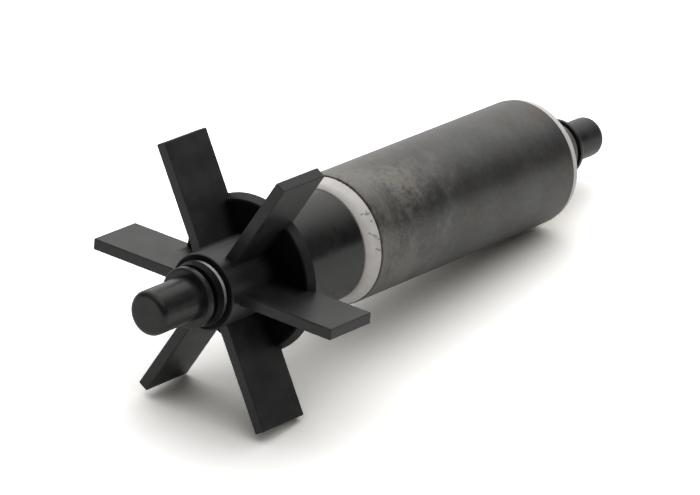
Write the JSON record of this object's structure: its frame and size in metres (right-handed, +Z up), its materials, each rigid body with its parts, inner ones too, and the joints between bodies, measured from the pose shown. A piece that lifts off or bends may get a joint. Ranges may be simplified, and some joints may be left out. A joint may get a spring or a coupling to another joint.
{
  "type": "pond pump rotor unit",
  "caption": "Pond pump rotor unit: open straight-bladed impeller, drum with start coupling, long magnet, rubber boots on both shaft ends.",
  "frame": {"origin": "on the shaft's axis, at the shoulder where the front boot bears on the pump cover", "axes": "+X along the shaft, out through the front boot's nose on the impeller side; +Z up, with one gap between blades facing straight up and two blade tips pointing down"},
  "size_m": [0.1779, 0.0724, 0.064],
  "materials": {
    "shaft_ceramic": "ground ceramic rod",
    "boot_rubber": "moulded black rubber, satin",
    "washer_ceramic": "lapped light grey ceramic",
    "carrier_plastic": "moulded white plastic, slightly scuffed",
    "magnet_ferrite": "ground ferrite, mottled and finely scratched",
    "seal_rubber": "soft black rubber",
    "bearing_ceramic": "fine ceramic sleeve",
    "driver_plastic": "hard black plastic",
    "clip_steel": "stainless spring steel",
    "slip_plastic": "waxy slip plastic",
    "impeller_plastic": "black moulded plastic, satin",
    "housing_plastic": "dark grey moulded plastic, satin"
  },
  "bodies": {
    "shaft": {"shaft": "shaft_ceramic", "front_boot": "boot_rubber", "rear_boot": "boot_rubber", "front_thrust_washer": "washer_ceramic", "rear_thrust_washer": "washer_ceramic"},
    "rotor": {"rotor_carrier": "carrier_plastic", "magnet": "magnet_ferrite", "magnet_front_gasket": "seal_rubber", "magnet_rear_gasket": "seal_rubber", "rear_cap": "carrier_plastic", "rotor_front_bearing": "bearing_ceramic", "rotor_rear_bearing": "bearing_ceramic", "front_bearing_seal": "seal_rubber", "rear_bearing_seal": "seal_rubber", "coupling_driver": "driver_plastic", "driver_clip": "clip_steel", "slip_washer": "slip_plastic"},
    "impeller": {"impeller": "impeller_plastic", "impeller_bush": "bearing_ceramic", "coupling_housing": "housing_plastic", "coupling_cover": "housing_plastic", "stop_buffer_left": "seal_rubber", "stop_buffer_right": "seal_rubber"}
  },
  "joints": [
    {"name": "rotor_spin", "type": "hinge", "parent": "shaft", "child": "rotor", "pos_m": [-0.0944, 0, 0], "axis": [1, 0, 0], "continuous": true},
    {"name": "start_coupling", "type": "hinge", "parent": "rotor", "child": "impeller", "pos_m": [-0.0403, 0, 0], "axis": [1, 0, 0], "range_deg": [-138, 138]}
  ]
}
